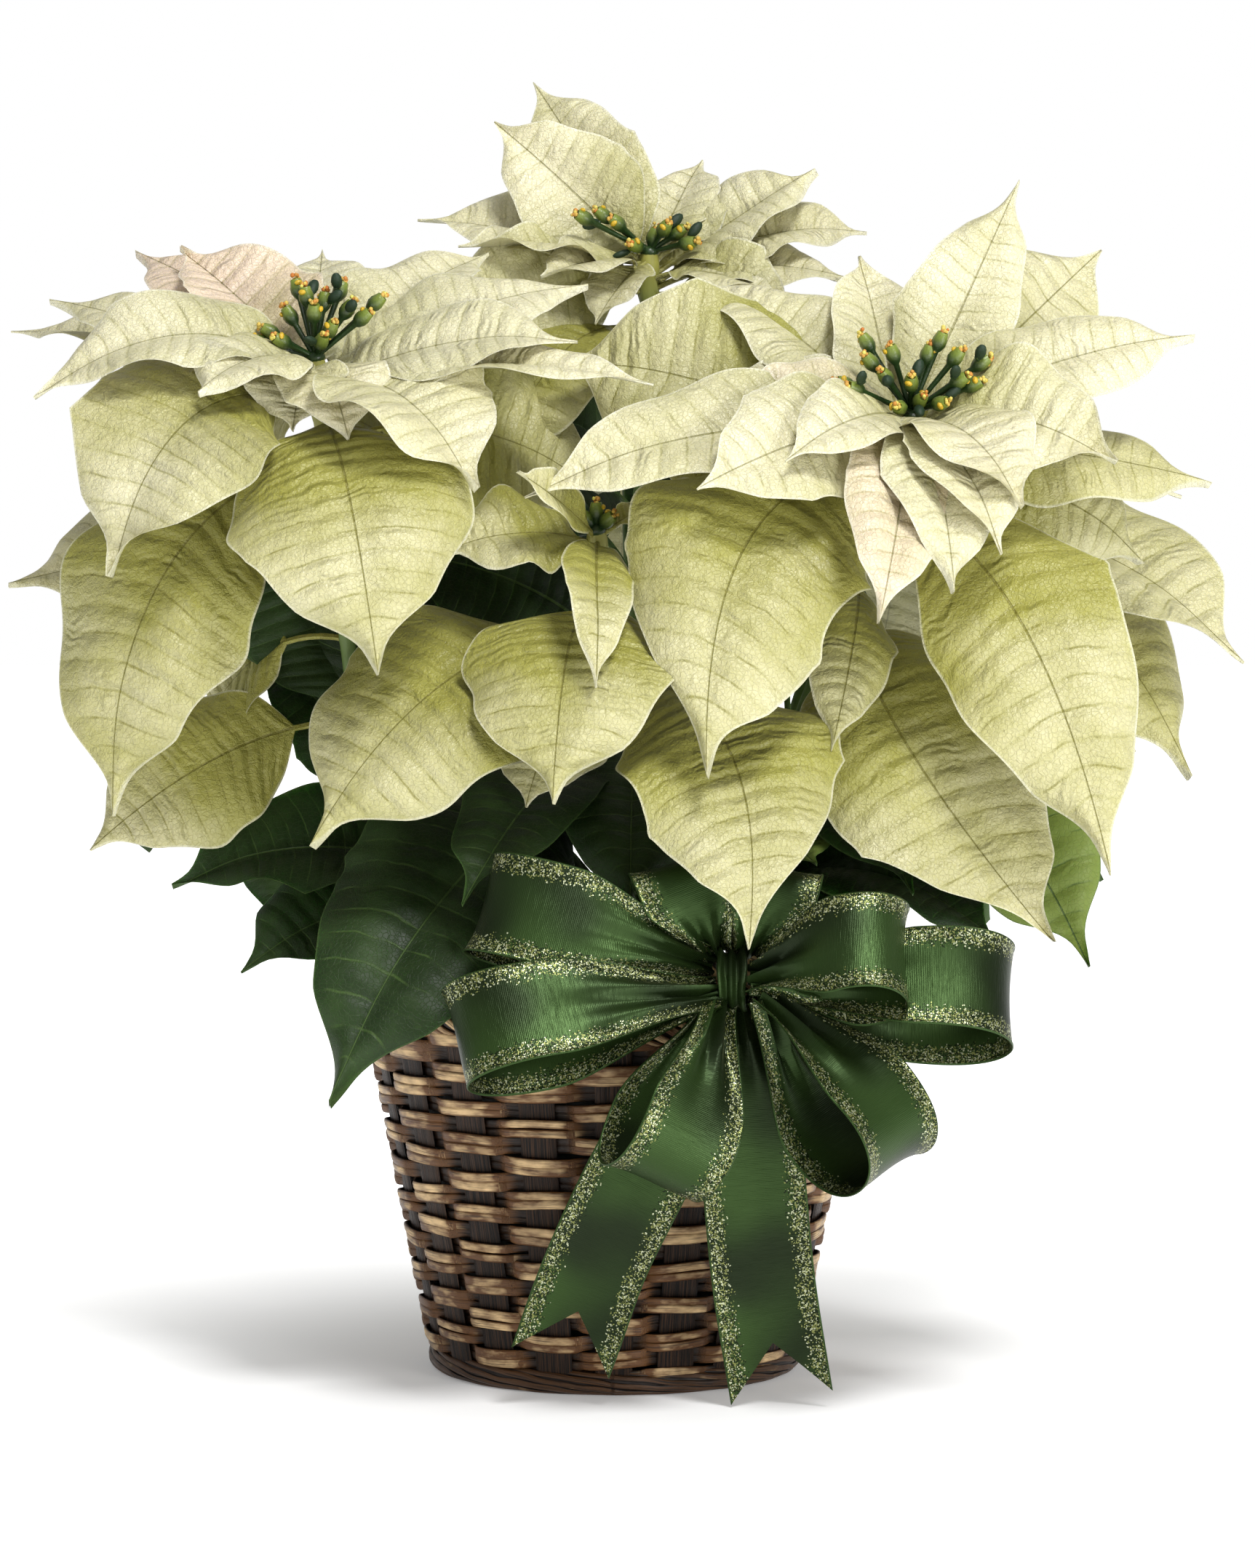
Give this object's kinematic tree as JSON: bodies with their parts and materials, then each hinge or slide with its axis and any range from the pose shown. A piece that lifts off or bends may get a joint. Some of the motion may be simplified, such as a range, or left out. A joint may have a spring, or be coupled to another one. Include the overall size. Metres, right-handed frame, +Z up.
{
  "type": "potted poinsettia",
  "caption": "White poinsettia rooted in a grower pot inside a woven wicker basket, with a wide green ribbon bow tied on the front.",
  "frame": {"origin": "centre of the underside of the basket's base", "axes": "+Z up along the basket's axis, -Y towards the front where the bow hangs, +X to the right"},
  "size_m": [0.509, 0.4002, 0.5245],
  "materials": {
    "stained_cane": "dark stained flat cane, matt",
    "woven_cane": "stained cane with pale worn ridges, satin",
    "rolled_cane": "twisted cane border, satin",
    "pot_plastic": "matt dark green moulded plastic",
    "potting_mix": "damp peaty mix, matt",
    "cream_bract": "satin cream bract with pale green veins",
    "flower_cup": "waxy green cup with a yellow-orange mouth",
    "green_leaf": "dark green veined leaf and green stem, satin",
    "satin_ribbon": "dark green satin with fine glitter along both edges",
    "florist_wire": "green painted wire"
  },
  "bodies": {
    "root": {"basket_frame": "stained_cane", "basket_weave": "woven_cane", "basket_rim": "rolled_cane", "nursery_pot": "pot_plastic", "potting_soil": "potting_mix", "bloom_left_bracts": "cream_bract", "bloom_left_cyathia": "flower_cup", "bloom_top_bracts": "cream_bract", "bloom_top_cyathia": "flower_cup", "bloom_right_bracts": "cream_bract", "bloom_right_cyathia": "flower_cup", "bloom_middle_bracts": "cream_bract", "bloom_middle_cyathia": "flower_cup", "bloom_back_left_bracts": "cream_bract", "bloom_back_left_cyathia": "flower_cup", "bloom_back_right_bracts": "cream_bract", "bloom_back_right_cyathia": "flower_cup", "bloom_back_bracts": "cream_bract", "bloom_back_cyathia": "flower_cup", "plant_left": "green_leaf", "plant_centre": "green_leaf", "plant_right": "green_leaf", "bow_ribbon": "satin_ribbon", "bow_wire": "florist_wire"}
  },
  "joints": []
}
